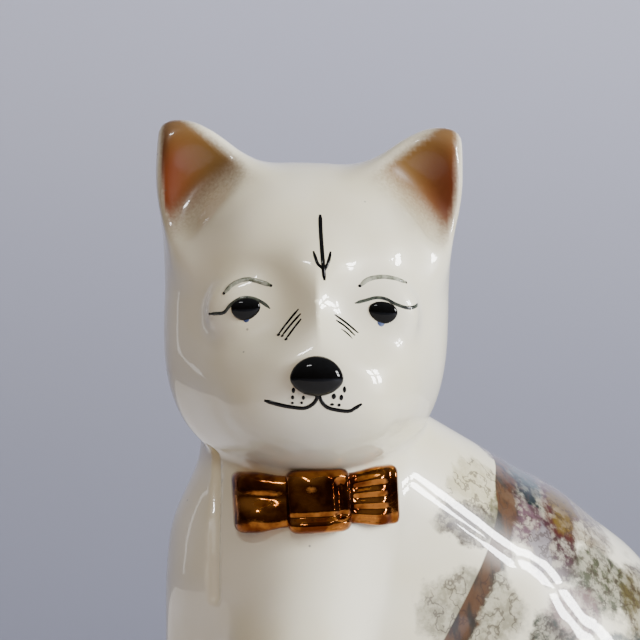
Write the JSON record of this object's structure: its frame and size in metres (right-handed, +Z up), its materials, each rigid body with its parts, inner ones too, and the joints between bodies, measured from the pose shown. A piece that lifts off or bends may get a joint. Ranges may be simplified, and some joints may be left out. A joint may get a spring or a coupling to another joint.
{
  "type": "cat figurine",
  "caption": "Seated cat mantel figure in ivory-glazed hollow earthenware, head turned to the viewer, with black nose and eyes and a gilded bow at the throat.",
  "frame": {"origin": "a point on the plane it rests on, within the base, on the middle line of the body's length", "axes": "+Z up to the ear tips; the face looks along -Y; the body's length runs back to +X and +Y"},
  "size_m": [0.1365, 0.1022, 0.1896],
  "materials": {
    "ivory_glaze": "glossy ivory glaze with small dark specks",
    "ear_colour": "orange brown brushed under the glossy glaze",
    "black_enamel": "glossy black enamel",
    "gold_lustre": "fired gold lustre, slightly worn",
    "bare_clay": "unglazed, matt"
  },
  "bodies": {
    "root": {"torso": "ivory_glaze", "head": "ivory_glaze", "left_ear": "ear_colour", "right_ear": "ear_colour", "left_foreleg": "ivory_glaze", "right_foreleg": "ivory_glaze", "left_hind_paw": "ivory_glaze", "right_hind_paw": "ivory_glaze", "tail": "ivory_glaze", "base_slab": "bare_clay", "bow_left_loop": "gold_lustre", "bow_right_loop": "gold_lustre", "bow_knot": "gold_lustre", "nose": "black_enamel", "left_eye": "black_enamel", "right_eye": "black_enamel"}
  },
  "joints": []
}
